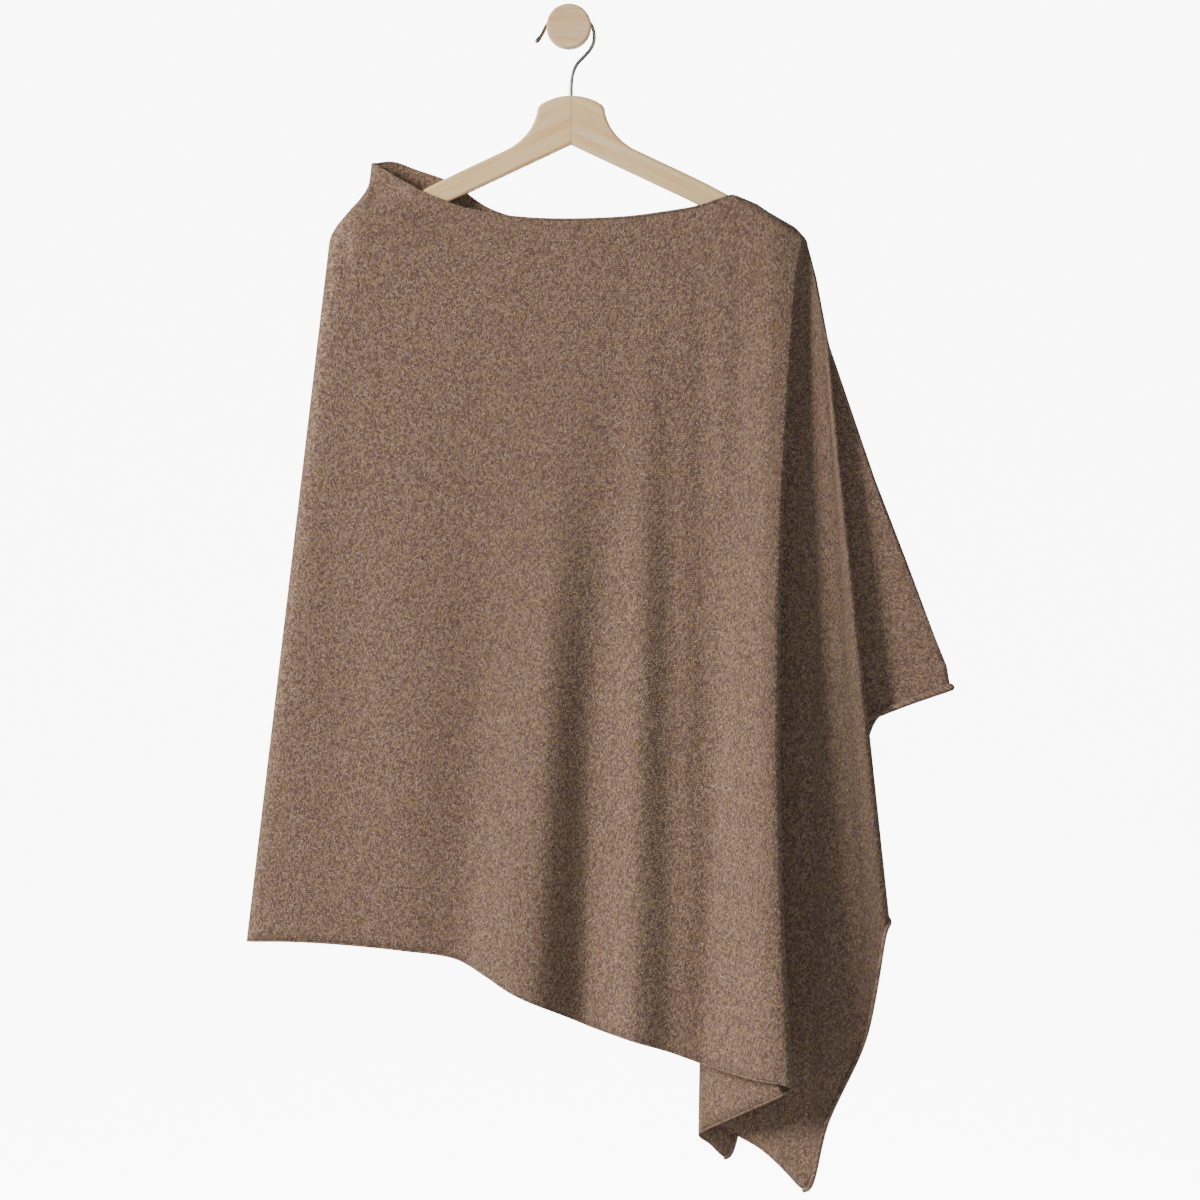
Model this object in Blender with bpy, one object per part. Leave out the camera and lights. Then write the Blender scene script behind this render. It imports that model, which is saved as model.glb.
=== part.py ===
"""Knitted poncho hanging on a wooden hanger, with the hanger's hook over a turned wall peg.

Millimetres in the tables, metres in the meshes. The origin is the centre of the peg's back face,
on the wall. +Z is up, the front of the poncho faces -Y and the wall is the plane y = 0.
"""
import math
from collections import namedtuple

import bmesh
import bpy
import numpy as np

MM = 0.001
GAP = 0.3                    # clearance between pieces that touch

# The cloth
WALL = 1.8                   # thickness of the knit
TOP_ROWS = (0.0, 0.0014, 0.0047, 0.0106, 0.022)   # shares of a line where the cloth bends over the arm
LOW_ROWS = 11                # rows from there to the lower edge
ROW_CROWDING = 1.25          # above 1 these rows crowd toward the top
SEAM_Y = -45.0               # depth of the seam and of the hanger's middle plane
FRONT_HANG_Y = -54.5         # the front panel where it leaves the hanger
BACK_HANG_Y = -35.5          # the back panel where it leaves the hanger
ARM_DRAPE = 9.0              # height over which a panel bends down from the arm's top edge
ARM_CLEAR = 9.0              # height above the arm at which it begins to bend
SIDE_FOLD_SLIM = 3.0         # folded side's radius above the arm
SIDE_FOLD_FULL = 9.5         # beside the arm's end
SIDE_FOLD_LOW = 6.5          # at the hem
SIDE_FULL_FROM = (150, 182)  # depths below the peg between which it grows to the full radius
SIDE_SLIM_FROM = (260, 880)  # and between which it slims toward the hem
LEAN_END = (0.02, 0.10)      # shares of a line between which its top stops standing toward the neck
EVEN_ROWS_FROM = (90, 300)   # distances along the seam between which the rows become even

# The hanger
HANGER_X = 2.0               # middle of the hanger
ARM_THICKNESS = 12.0
ARM_TOP_Z = -86.3            # height at which the two arms' top edges would cross
ARM_SLOPE = 0.470            # fall of an arm's top edge per unit of width
ARM_DROOP = 0.0009           # its downward curve, per square millimetre beyond DROOP_START
DROOP_START = 110.0
ARM_DEPTH = 24.2             # height of an arm, measured upright
ARM_REACH = 207.0            # half the hanger's width
ARM_END_RADIUS = 9.0
ARM_EDGE = 2.5               # rounding of the wood's long edges
FLANK_END = 66.0             # distance from the middle where the hub has become the arm
# The hub's top and hollow flank: distance from the middle and height.
HUB_OUTLINE = ((0, -63.0), (8, -63.6), (16, -65.4), (24, -68.4), (30, -72.0), (32.6, -76.0), (33.4, -81.0),
               (35.4, -87.5), (38.8, -94.5), (44, -101.5), (50.5, -108.0), (58, -113.4))

# The hook: points on the wire's middle line, x and z, from the hub to the tip.
WIRE_RADIUS = 1.75
WIRE_SIDES = 8
HOOK_ROUTE = ((2.0, -62.7), (2.2, -52), (3.8, -41), (8, -32), (14.5, -25), (20.3, -18.5), (23.6, -11.5),
              (24.4, -4), (22.3, 4.5), (17, 11), (9, 15), (0, 16.2), (-9, 15), (-17.5, 10.5), (-22.5, 4),
              (-25.2, -1.5), (-28.2, -6.5), (-31, -9.8))

# The wall peg
STEM_WALL_RADIUS = 11.5      # at the wall
STEM_RADIUS = 14.0           # under the hook and at the disc
STEM_LENGTH = 63.0
DISC_RADIUS = 21.6
DISC_THICKNESS = 15.0
DISC_EDGE = 2.0
EDGE_CUT = 0.3               # share of the rounding left outside its middle point
STEM_TAPER_Y = -37.0         # depth at which the stem has reached its full radius
PEG_SIDES = 40

# A line runs down the cloth from its top edge to its lower edge, at equal shares of its length on each row.
# lean: how far its top stands toward the neck. bow: sideways shift of its middle. rise: above 1 its depth
# grows late. radius and aim: a fold's nose at the foot and the way it points in plan (0 is +X, 90 is -Y).
# climb: how far the lower edge rises around the nose.
NeckLine = namedtuple("NeckLine", "name top_x top_z top_y foot_x foot_z foot_y lean rise bow",
                      defaults=(0.0,))
# along: distance of the top point from the seam's neck end. near_y: depth just below the seam.
SeamLine = namedtuple("SeamLine", "name along near_y foot_x foot_z foot_y bow rise radius aim climb",
                      defaults=(0.0, 1.0, 0.0, 0.0, 0.0))
# upper and mid: place beside the rear fold at the two shares of POCKET_SHARES.
PocketLine = namedtuple("PocketLine",
                        "name along upper_x upper_y mid_x mid_y foot_x foot_z foot_y radius aim climb",
                        defaults=(0.0, 0.0, 0.0))

FRONT_LINES = (
    NeckLine("side_fold", -191, -131, -45.4, -312, -882, -45.4, 32, 1.0),
    NeckLine("stub", -166, -144, -52.0, -268, -882, -55, 21, 1.5),
    NeckLine("arm_cross", -135, -161, -54.0, -216, -885, -59, 11, 1.5),
    NeckLine("left_flat", -101, -173.5, -55.0, -163, -890, -57, 4, 2.0),
    NeckLine("rise_foot", -67, -180, -55.5, -110, -898, -57, 0, 2.0),
    NeckLine("crest_a_side", -38, -183, -55.5, -82, -913, -70, 0, 2.0),
    NeckLine("crest_a", -9, -184, -55.5, -54, -930, -82, 0, 2.0),
    NeckLine("valley_a_side", 25, -183.5, -55.5, -18, -946, -74, 0, 1.7),
    NeckLine("valley_a", 59, -181.5, -55.5, 20, -963, -62, 0, 1.6),
    NeckLine("crest_b", 93, -177, -55.5, 68, -977, -80, 0, 1.5),
    NeckLine("valley_b_side", 127, -171, -55.0, 99, -987, -77, 0, 1.4),
    NeckLine("rim_end", 149, -163.3, -54.3, 117, -993.5, -73, 0, 1.4),
    NeckLine("rim_over", 159.5, -159.4, -52.8, 124, -996, -72, 0, 1.4),
    SeamLine("valley_b", 7, -54.5, 131, -999, -73, rise=1.4),
    SeamLine("crest_c_side", 24, -54.5, 159, -1005.5, -94, bow=-4, rise=1.15),
    SeamLine("crest_c", 48, -54.5, 186, -1010, -116, bow=-8, rise=1.05),
    SeamLine("fold_1", 72, -51.5, 213, -1015, -117, bow=-16, radius=8.0, aim=35, climb=-7),
    SeamLine("fold_2", 88, -47.0, 135, -1054, -49, bow=-20, radius=5.0, aim=205, climb=-8),
    SeamLine("inner_side", 104, -46.0, 163, -1070.5, -46, bow=-14),
    SeamLine("hem_bend", 116, -47.0, 187, -1083.5, -53, bow=-8),
    SeamLine("hem_end", 128, -48.0, 212, -1106, -60, bow=-4),
    SeamLine("corner", 134, -48.5, 228, -1121, -64),
    SeamLine("edge_low", 141, -49.0, 247, -1056, -66),
    SeamLine("edge_mid", 149, -49.5, 283, -978, -66),
    SeamLine("edge_high", 159, -50.0, 294, -932, -63),
    SeamLine("fold_3", 178, -51.0, 310, -861, -54, radius=6.0, aim=-10, climb=12),
    SeamLine("fold_4", 202, -42.0, 200, -713, -38, bow=-6, radius=4.5, aim=190, climb=14),
    SeamLine("flap_inner", 250, -42.0, 243, -685, -35.5),
    SeamLine("flap_middle", 330, -41.5, 290, -665, -37.5),
    SeamLine("flap_outer", 430, -41.5, 327, -650, -40),
    SeamLine("flap_end", 522, -41.5, 370, -635, -43),
)

BACK_LINES = (
    NeckLine("side_fold", -191, -129, -44.6, -312, -882, -44.6, 32, 1.0),
    NeckLine("stub", -172, -127, -38.5, -268, -880, -33, 24, 1.5),
    NeckLine("arm_cross", -148, -135, -36.0, -216, -880, -29, 14, 1.5),
    NeckLine("back_dip", -115, -147, -35.5, -163, -882, -32, 5, 1.5),
    NeckLine("back_low", -80, -171, -35.5, -110, -888, -30, 0, 1.5),
    NeckLine("back_valley", -48, -181.5, -35.5, -60, -906, -22, 0, 1.5),
    NeckLine("back_middle", -9, -186, -35.5, -12, -934, -30, 0, 1.5),
    NeckLine("back_crest", 38, -186, -35.5, 34, -960, -24, 0, 1.5),
    NeckLine("back_slope", 85, -181, -35.5, 74, -970, -36, 0, 1.3),
    NeckLine("back_turn", 127, -174, -35.5, 100, -982, -49, 0, 1.2, bow=-9),
    NeckLine("rim_end", 149, -166, -35.6, 113, -988, -55, 0, 1.2, bow=-13),
    NeckLine("rim_over", 159.5, -160.0, -37.0, 122, -992, -60, 0, 1.2, bow=-15),
    PocketLine("pocket_side", 8, -36, 0.5, -6.5, -7.5, 148, -1001, -79),
    PocketLine("pocket_front", 40, -24, 0, -1.5, -11.5, 177, -1010, -101),
    PocketLine("fold_1", 70, -13, 0, 3.0, -12.0, 204, -1021, -113, radius=3.4, aim=35, climb=-5),
    SeamLine("fold_2", 88, -37.0, 126, -1072, -46, bow=-25, radius=9.5, aim=205, climb=-14),
    SeamLine("corner", 110, -35.5, 153, -1094, -34, bow=-18),
    SeamLine("edge_low", 128, -35.0, 172, -1030, -28, bow=-10),
    SeamLine("edge_mid", 160, -35.0, 212, -922, -22),
    SeamLine("edge_high", 200, -35.5, 252, -822, -27),
    SeamLine("edge_turn", 250, -36.0, 276, -736, -23),
    SeamLine("flap_middle", 330, -37.0, 298, -663, -27),
    SeamLine("flap_outer", 430, -38.0, 330, -649, -31),
    SeamLine("flap_end", 522, -38.5, 370, -635, -37),
)

FRONT_OPEN = (0.0, 0.07)         # shares of a line between which the front panel's folds form
POCKET_SHARES = (0.12, 0.46, 0.74)   # the back panel lies flat behind, still flat, and first folded
POCKET_DRIFT = 0.6               # share of its upper distance from the rear fold left at the second of them
POCKET_EASE = 0.1                # how far past the third of them its folds are fully formed

SeamPoint = namedtuple("SeamPoint", "along x z y")
SEAM = (
    SeamPoint(0, 161, -160.6, -45),
    SeamPoint(23, 182, -169.4, -45),
    SeamPoint(36, 193, -177.0, -45),
    SeamPoint(66, 219, -192.0, -45),
    SeamPoint(81, 229, -203.0, -45),
    SeamPoint(121, 239, -241.5, -45),
    SeamPoint(185, 251, -304.5, -44),
    SeamPoint(324, 296, -435.5, -40.5),
    SeamPoint(407, 326, -513.0, -40),
    SeamPoint(490, 355, -590.5, -39.5),
    SeamPoint(540, 374, -637.0, -39),
)
SEAM_HALF_GAP = (WALL + GAP) / 2
FOLD_ANGLES = (-80, 0, 80)
FOLD_SPACING = 3.0           # along the seam, between the lines of one fold
FOLD_ROW_SPACING = 2.4       # between them where the back panel's folds haven't formed
SIDE_FOLD_SHARES = (0.3, 0.7, 1.0)   # points on the folded side's quarter turn

# Spacing between the lines of the finished wall
SPAN_STEP = 20.0
NORMAL_REACH = 1.6           # distance each way over which the cloth's direction is taken

# The rolls of the open side edge: node, panel, lines between which it lies, radii at its two ends.
# lift: how far onto the panel's outer face its far end lies, 1 being flush with the face.
EdgeRoll = namedtuple("EdgeRoll", "node side first last radius_first radius_last lift")
EDGE_ROLLS = (
    EdgeRoll("front_edge_roll", "front", "corner", "edge_high", 2.3, 2.6, 0.0),
    EdgeRoll("front_flap_roll", "front", "flap_inner", "flap_end", 2.4, 2.8, 0.8),
    EdgeRoll("back_edge_roll", "back", "corner", "flap_end", 2.3, 3.0, 1.0),
)
ROLL_LIFT = (0.55, 0.9)      # shares of a roll's length between which it moves onto the face
ROLL_SIDES = 8

# Colours, linear
KNIT_COLOUR = (0.27, 0.17, 0.125)
HANGER_COLOUR = (0.82, 0.62, 0.42)
PEG_COLOUR = (0.75, 0.60, 0.44)
STEEL_COLOUR = (0.62, 0.61, 0.60)


def smooth(value, low, high):
    """0 below low, 1 above high, eased between them."""
    t = np.clip((value - low) / (high - low), 0.0, 1.0)
    return t * t * (3.0 - 2.0 * t)


def seam_point(along):
    """Point on the seam's line, a distance along it from the neck opening."""
    marks = [p.along for p in SEAM]
    return np.array([np.interp(along, marks, [p[k] for p in SEAM]) for k in (1, 3, 2)])


def arm_top(x):
    """Height of the hanger arm's top edge."""
    out = abs(x - HANGER_X)
    return ARM_TOP_Z - ARM_SLOPE * out - ARM_DROOP * max(0.0, out - DROOP_START) ** 2


def line_top(line, side):
    """Top point (x, y, z) of a line, on the neck edge or on the seam."""
    if isinstance(line, NeckLine):
        return np.array([line.top_x, line.top_y, line.top_z], dtype=float)
    point = seam_point(line.along)
    point[1] += -SEAM_HALF_GAP if side == "front" else SEAM_HALF_GAP
    return point


def row_share(line, row):
    """Share of a line at a row: close rows over the arm, even rows on the lines of the flap."""
    if row < len(TOP_ROWS):
        close = TOP_ROWS[row]
    else:
        low = (row - len(TOP_ROWS) + 1) / LOW_ROWS
        close = TOP_ROWS[-1] + (1 - TOP_ROWS[-1]) * low ** ROW_CROWDING
    even = row / (len(TOP_ROWS) + LOW_ROWS - 1)
    flap = 0.0 if isinstance(line, NeckLine) else smooth(line.along, *EVEN_ROWS_FROM)
    return close + (even - close) * flap


def bend_over_arm(drop):
    """How far the cloth has come forward or back, drop below the height where it begins to bend."""
    left = 1.0 - min(max(drop / ARM_DRAPE, 0.0), 1.0)
    return math.sqrt(1.0 - left * left)


def side_radius(z):
    """Roundness of the folded side: slim above the arm, full over its end, then slowly slimmer."""
    fuller = (SIDE_FOLD_FULL - SIDE_FOLD_SLIM) * float(smooth(-z, *SIDE_FULL_FROM))
    slimmer = (SIDE_FOLD_LOW - SIDE_FOLD_FULL) * float(smooth(-z, *SIDE_SLIM_FROM))
    return SIDE_FOLD_SLIM + fuller + slimmer


def neck_line_point(line, v, side):
    """Middle of the cloth on a line from the neck edge, v from 0 at the top to 1 at the foot."""
    top = line_top(line, side)
    x = (top[0] - line.lean) * (1 - v) + line.foot_x * v + line.lean * (1 - smooth(v, *LEAN_END))
    x += line.bow * 4 * v * (1 - v)
    z = top[2] * (1 - v) + line.foot_z * v
    if line.name == "side_fold":
        return np.array([x, line.foot_y, z])
    hang_y = FRONT_HANG_Y if side == "front" else BACK_HANG_Y
    over = bend_over_arm(min(top[2], arm_top(x) + ARM_CLEAR) - z)
    start_y = top[1] + (hang_y - top[1]) * over
    return np.array([x, start_y + (line.foot_y - start_y) * v ** line.rise, z])


def seam_line_point(line, v, side):
    """The same on a line from the seam."""
    top = line_top(line, side)
    x = top[0] * (1 - v) + line.foot_x * v + line.bow * 4 * v * (1 - v)
    z = top[2] * (1 - v) + line.foot_z * v
    start_y = top[1] + (line.near_y - top[1]) * bend_over_arm(top[2] - z)
    return np.array([x, start_y + (line.foot_y - start_y) * v ** line.rise, z])


def pocket_point(line, lines, v, side):
    """The back panel's lines that lie beside its rear fold and run into the front fold lower down."""
    rear = next(other for other in lines if other.name == "fold_2")
    top = line_top(line, side)
    apart = line_top(rear, side) - top
    shares = (0.0, POCKET_SHARES[0], POCKET_SHARES[1], POCKET_SHARES[2], 1.0)
    foot_x = line.foot_x - rear.foot_x
    foot_y = line.foot_y - rear.foot_y
    marks_x = (-apart[0], line.upper_x, line.upper_x * POCKET_DRIFT, line.mid_x, foot_x)
    marks_y = (-apart[1], line.upper_y, line.upper_y, line.mid_y, foot_y)
    beside_x = np.interp(v, shares, marks_x)
    beside_y = np.interp(v, shares, marks_y)
    point = seam_line_point(rear, v, side) + np.array([beside_x, beside_y, 0.0])
    point[2] = top[2] * (1 - v) + line.foot_z * v
    return point


def line_point(line, lines, v, side):
    if isinstance(line, NeckLine):
        return neck_line_point(line, v, side)
    if isinstance(line, PocketLine):
        return pocket_point(line, lines, v, side)
    return seam_line_point(line, v, side)


def fold_columns(line, lines, v, side):
    """The points of a fold's nose at one row. Where the fold hasn't formed they lie in a row."""
    top = line_top(line, side)
    nose = line_point(line, lines, v, side)
    aim = math.radians(line.aim)
    ahead = np.array([math.cos(aim), -math.sin(aim), 0.0])
    turn = 1.0 if math.cos(aim) > 0 else -1.0
    across = np.array([math.sin(aim), math.cos(aim), 0.0]) * turn
    if side == "front":
        shut = 1 - smooth(v, *FRONT_OPEN)
        radius = line.radius * v ** 0.5 * (1 - shut)
        low_spacing = 0.0
    else:
        shut = 1 - smooth(v, 0.0, POCKET_SHARES[0])
        formed = smooth(v, POCKET_SHARES[1], POCKET_SHARES[2] + POCKET_EASE)
        radius = line.radius * (formed * v) ** 0.5 * (0.5 + 0.5 * v)
        low_spacing = FOLD_ROW_SPACING * (1 - shut) * (1 - formed)
    points = []
    for index, angle in enumerate(FOLD_ANGLES):
        theta = math.radians(angle)
        place = index - len(FOLD_ANGLES) // 2
        own_top = line_top(line._replace(along=line.along + place * FOLD_SPACING), side)
        bend = ahead * (math.cos(theta) - 1) + across * math.sin(theta)
        row = np.array([place * low_spacing, 0.0, place * line.climb / 2 * v * (1 - shut)])
        points.append(nose + (own_top - top) * shut + row + bend * radius)
    return points


def control_section(lines, row, side):
    """All the points that one row of the cloth passes through, from the folded side to the open side."""
    points = []
    for line in lines:
        v = row_share(line, row)
        if not isinstance(line, NeckLine) and line.radius:
            points.extend(fold_columns(line, lines, v, side))
            continue
        point = line_point(line, lines, v, side)
        points.append(point)
        if line.name == "side_fold":
            radius = side_radius(point[2])
            turn = -1 if side == "front" else 1
            for share in SIDE_FOLD_SHARES:
                angle = share * math.pi / 2
                bend = np.array([radius * (1 - math.cos(angle)), turn * radius * math.sin(angle), 0.0])
                points.append(point + bend)
    return np.array(points)


def span_counts(lines, side):
    """How many steps each span between control points gets, from its length near the foot."""
    section = control_section(lines, len(TOP_ROWS) + LOW_ROWS - 2, side)
    lengths = np.linalg.norm(np.diff(section, axis=0), axis=1)
    return np.maximum(1, np.round(lengths / SPAN_STEP)).astype(int)


def curve_through(points, counts):
    """Centripetal curve through the points, sampled counts times in each span."""
    ends = np.vstack([2 * points[0] - points[1], points, 2 * points[-1] - points[-2]])
    knots = np.concatenate([[0], np.cumsum(np.linalg.norm(np.diff(ends, axis=0), axis=1) ** 0.5 + 1e-3)])
    samples = [points[0]]
    for k, count in enumerate(counts):
        p0, p1, p2, p3 = ends[k:k + 4]
        t0, t1, t2, t3 = knots[k:k + 4]
        for step in range(1, count + 1):
            t = t1 + (t2 - t1) * step / count
            a1 = p0 + (p1 - p0) * (t - t0) / (t1 - t0)
            a2 = p1 + (p2 - p1) * (t - t1) / (t2 - t1)
            a3 = p2 + (p3 - p2) * (t - t2) / (t3 - t2)
            b1 = a1 + (a2 - a1) * (t - t0) / (t2 - t0)
            b2 = a2 + (a3 - a2) * (t - t1) / (t3 - t1)
            samples.append(b1 + (b2 - b1) * (t - t1) / (t2 - t1))
    return np.array(samples)


def cloth_surface(lines, side):
    """Grid [column, row] of points in the middle of one panel's wall."""
    counts = span_counts(lines, side)
    rows = range(len(TOP_ROWS) + LOW_ROWS)
    grid = [curve_through(control_section(lines, row, side), counts) for row in rows]
    return np.transpose(np.array(grid), (1, 0, 2))


def surface_normals(grid):
    """Unit normals, pointing out of the front panel toward the room."""
    across = np.empty_like(grid)
    for row in range(grid.shape[1]):
        points = grid[:, row]
        along = np.concatenate([[0], np.cumsum(np.linalg.norm(np.diff(points, axis=0), axis=1))])
        for axis in range(3):
            after = np.interp(along + NORMAL_REACH, along, points[:, axis])
            across[:, row, axis] = after - np.interp(along - NORMAL_REACH, along, points[:, axis])
    down = np.gradient(grid, axis=1)
    normals = np.cross(down, across)
    return normals / np.linalg.norm(normals, axis=2, keepdims=True)


def wall_mesh(grid, thickness):
    """Closed wall around a grid: two skins and a strip round the edge."""
    normals = surface_normals(grid)
    columns, rows = grid.shape[:2]
    skins = [grid + normals * thickness / 2, grid - normals * thickness / 2]
    verts = np.vstack([skin.reshape(-1, 3) for skin in skins])
    back = columns * rows

    def at(column, row):
        return column * rows + row

    faces = []
    for c in range(columns - 1):
        for r in range(rows - 1):
            quad = [at(c, r), at(c, r + 1), at(c + 1, r + 1), at(c + 1, r)]
            faces.append(quad)
            faces.append([back + k for k in reversed(quad)])
    rim = [at(c, 0) for c in range(columns)]
    rim += [at(columns - 1, r) for r in range(1, rows)]
    rim += [at(c, rows - 1) for c in range(columns - 2, -1, -1)]
    rim += [at(0, r) for r in range(rows - 2, 0, -1)]
    for k, first in enumerate(rim):
        second = rim[(k + 1) % len(rim)]
        faces.append([first, second, back + second, back + first])
    return verts, faces


def clear_objects():
    for obj in list(bpy.data.objects):
        bpy.data.objects.remove(obj, do_unlink=True)


def material(name, colour, roughness, metallic=0.0):
    mat = bpy.data.materials.new(name)
    mat.use_nodes = True
    shader = mat.node_tree.nodes["Principled BSDF"]
    shader.inputs["Base Color"].default_value = (*colour, 1.0)
    shader.inputs["Roughness"].default_value = roughness
    shader.inputs["Metallic"].default_value = metallic
    return mat


def add_object(name, verts, faces, mat):
    """Object from points in millimetres; its faces are turned outward and shaded smooth."""
    bm = bmesh.new()
    corners = [bm.verts.new([float(c) * MM for c in v]) for v in verts]
    for face in faces:
        bm.faces.new([corners[k] for k in face])
    bmesh.ops.recalc_face_normals(bm, faces=bm.faces)
    mesh = bpy.data.meshes.new(name)
    bm.to_mesh(mesh)
    bm.free()
    mesh.shade_smooth()
    mesh.set_sharp_from_angle(angle=math.radians(40))
    mesh.materials.append(mat)
    obj = bpy.data.objects.new(name, mesh)
    bpy.context.scene.collection.objects.link(obj)
    return obj


def tube_mesh(path, radii, frames, sides):
    """Closed tube: rings in the planes given by the two axes of each frame."""
    verts = []
    for centre, radius, (u, w) in zip(path, radii, frames):
        for k in range(sides):
            angle = 2 * math.pi * k / sides
            verts.append(centre + radius * (math.cos(angle) * u + math.sin(angle) * w))
    faces = []
    rings = len(path)
    for r in range(rings - 1):
        for k in range(sides):
            n = (k + 1) % sides
            faces.append([r * sides + k, r * sides + n, (r + 1) * sides + n, (r + 1) * sides + k])
    faces.append([k for k in reversed(range(sides))])
    faces.append([(rings - 1) * sides + k for k in range(sides)])
    return np.array(verts), faces


def edge_roll(grid, roll, start, stop):
    """Tube along the lower edge of a panel between two columns, where the knit curls outward."""
    edge = grid[start:stop + 1, -1]
    outward = 1 if roll.side == "front" else -1
    normals = surface_normals(grid)[start:stop + 1, -1] * outward
    along = np.gradient(edge, axis=0)
    along /= np.linalg.norm(along, axis=1, keepdims=True)
    beyond = np.cross(along, normals)
    inward = grid[start:stop + 1, -2] - edge
    beyond *= -np.sign(np.sum(beyond * inward, axis=1, keepdims=True))
    share = np.concatenate([[0], np.cumsum(np.linalg.norm(np.diff(edge, axis=0), axis=1))])
    share /= share[-1]
    radius = roll.radius_first + (roll.radius_last - roll.radius_first) * share
    lift = roll.lift * (radius - WALL / 2) * smooth(share, *ROLL_LIFT)
    centres = edge + beyond * (radius + GAP)[:, None] + normals * lift[:, None]
    return tube_mesh(centres, radius, list(zip(normals, beyond)), ROLL_SIDES)


def hanger_outline():
    """Outline of one hanger half, distance from the middle and height, clockwise from the hub's top."""
    def top(out):
        return arm_top(HANGER_X + out)

    points = list(HUB_OUTLINE)
    arc_start = ARM_REACH - ARM_END_RADIUS
    points += [(out, top(out)) for out in np.linspace(FLANK_END, arc_start, 7)]
    for corner in (top(arc_start) - ARM_END_RADIUS, top(arc_start) - ARM_DEPTH + ARM_END_RADIUS):
        for turn in (30, 60, 90):
            angle = math.radians(turn if corner > top(arc_start) - ARM_DEPTH / 2 else turn + 60)
            points.append((arc_start + ARM_END_RADIUS * math.sin(angle),
                           corner + ARM_END_RADIUS * math.cos(angle)))
    points += [(out, top(out) - ARM_DEPTH) for out in np.linspace(arc_start, 0, 8)]
    return points


def hanger_half(name, side, mat):
    """Flat wooden half with rounded long edges; side is 1 to the right and -1 to the left."""
    points = [(max(out, GAP / 2), z) for out, z in hanger_outline()]
    bm = bmesh.new()
    ring = [bm.verts.new(((HANGER_X + side * out) * MM, (SEAM_Y - ARM_THICKNESS / 2) * MM, z * MM))
            for out, z in points]
    face = bm.faces.new(ring)
    grown = bmesh.ops.extrude_face_region(bm, geom=[face])
    moved = [g for g in grown["geom"] if isinstance(g, bmesh.types.BMVert)]
    bmesh.ops.translate(bm, verts=moved, vec=(0, ARM_THICKNESS * MM, 0))
    joint_x = (HANGER_X + side * GAP / 2) * MM
    long_edges = []
    for edge in bm.edges:
        first, second = edge.verts
        same_face = abs(first.co.y - second.co.y) < MM * 0.1
        on_joint = abs(first.co.x - joint_x) < MM * 0.01 and abs(second.co.x - joint_x) < MM * 0.01
        if same_face and not on_joint:
            long_edges.append(edge)
    bmesh.ops.bevel(bm, geom=long_edges, offset=ARM_EDGE * MM, segments=2, profile=0.5, affect="EDGES")
    bmesh.ops.recalc_face_normals(bm, faces=bm.faces)
    mesh = bpy.data.meshes.new(name)
    bm.to_mesh(mesh)
    bm.free()
    mesh.shade_smooth()
    mesh.set_sharp_from_angle(angle=math.radians(40))
    mesh.materials.append(mat)
    obj = bpy.data.objects.new(name, mesh)
    bpy.context.scene.collection.objects.link(obj)


def hook_mesh():
    """Bent wire from the hub over the peg's stem to the flared tip."""
    route = np.array([(x, SEAM_Y, z) for x, z in HOOK_ROUTE])
    path = curve_through(route, [3] * (len(route) - 1))
    along = np.gradient(path, axis=0)
    along /= np.linalg.norm(along, axis=1, keepdims=True)
    depth = np.array([0.0, 1.0, 0.0])
    frames = [(depth, np.cross(direction, depth)) for direction in along]
    return tube_mesh(path, [WIRE_RADIUS] * len(path), frames, WIRE_SIDES)


def peg_mesh():
    """Turned peg: a stem from the wall that widens to the hook, and a disc with rounded edges."""
    disc_back = -STEM_LENGTH
    front = disc_back - DISC_THICKNESS
    cut = DISC_EDGE * EDGE_CUT
    profile = [(0.0, STEM_WALL_RADIUS), (STEM_TAPER_Y, STEM_RADIUS), (disc_back, STEM_RADIUS)]
    profile += [(disc_back, DISC_RADIUS - DISC_EDGE), (disc_back - cut, DISC_RADIUS - cut)]
    profile += [(disc_back - DISC_EDGE, DISC_RADIUS), (front + DISC_EDGE, DISC_RADIUS)]
    profile += [(front + cut, DISC_RADIUS - cut), (front, DISC_RADIUS - DISC_EDGE)]
    path = [np.array([0.0, y, 0.0]) for y, _ in profile]
    frame = (np.array([1.0, 0.0, 0.0]), np.array([0.0, 0.0, 1.0]))
    return tube_mesh(path, [r for _, r in profile], [frame] * len(path), PEG_SIDES)


def column_of(lines, side, name):
    """Grid column where a line lies."""
    counts = span_counts(lines, side)
    position = 0
    for line in lines:
        if line.name == name:
            break
        position += 1
        if line.name == "side_fold":
            position += len(SIDE_FOLD_SHARES)
        elif not isinstance(line, NeckLine) and line.radius:
            position += len(FOLD_ANGLES) - 1
    return int(sum(counts[:position]))


def build_cloth(knit):
    for side, lines in (("front", FRONT_LINES), ("back", BACK_LINES)):
        grid = cloth_surface(lines, side)
        add_object(f"{side}_panel", *wall_mesh(grid, WALL), knit)
        for roll in EDGE_ROLLS:
            if roll.side == side:
                ends = [column_of(lines, side, name) for name in (roll.first, roll.last)]
                add_object(roll.node, *edge_roll(grid, roll, *ends), knit)


def main():
    clear_objects()
    knit = material("brown_melange_knit", KNIT_COLOUR, 0.9)
    wood = material("pale_birch", HANGER_COLOUR, 0.5)
    peg_wood = material("turned_beech", PEG_COLOUR, 0.55)
    steel = material("bright_steel_wire", STEEL_COLOUR, 0.25, 1.0)
    build_cloth(knit)
    hanger_half("hanger_right", 1, wood)
    hanger_half("hanger_left", -1, wood)
    add_object("hook", *hook_mesh(), steel)
    add_object("wall_peg", *peg_mesh(), peg_wood)


main()
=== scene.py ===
import math
from collections import namedtuple

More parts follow.
